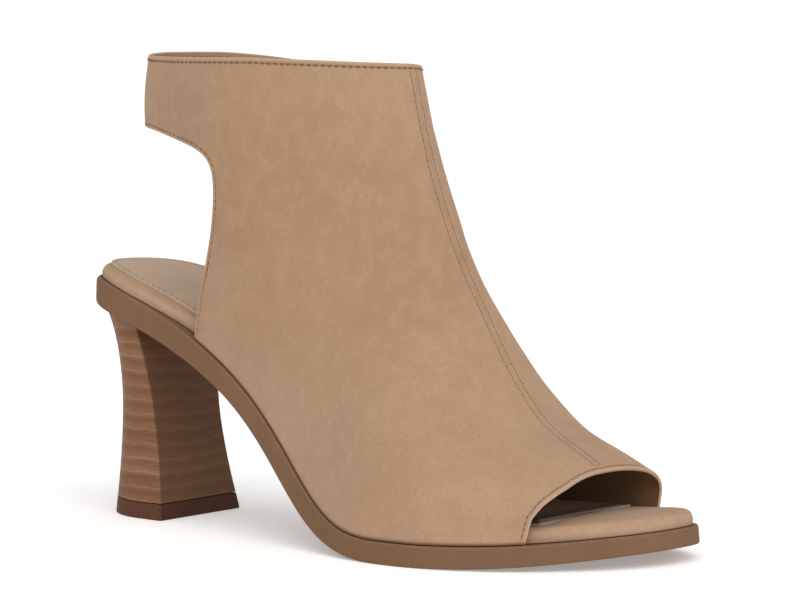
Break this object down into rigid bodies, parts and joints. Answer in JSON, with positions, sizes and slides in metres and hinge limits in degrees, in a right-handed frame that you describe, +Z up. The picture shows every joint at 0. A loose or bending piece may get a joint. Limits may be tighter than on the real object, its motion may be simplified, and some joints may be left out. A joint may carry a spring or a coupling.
{
  "type": "ankle sandal",
  "caption": "Right-foot suede sandal with a high closed ankle, open toe, open heel under an ankle band, padded insole and a flared block heel.",
  "frame": {"origin": "on the floor under the middle of the shoe's bounding box", "axes": "+X from the heel to the toe, +Y to the inner side of the foot, +Z up; the shoe stands on the plane Z = 0"},
  "size_m": [0.2244, 0.0848, 0.152],
  "materials": {
    "suede": "napped suede",
    "insole_suede": "napped suede over padding",
    "sock_leather": "smooth lining leather",
    "outsole": "satin",
    "heel_stack": "stacked, waxed",
    "top_piece": "satin"
  },
  "bodies": {
    "root": {"upper": "suede", "insole": "insole_suede", "sock_lining": "sock_leather", "outsole": "outsole", "heel": "heel_stack", "top_piece": "top_piece"}
  },
  "joints": []
}
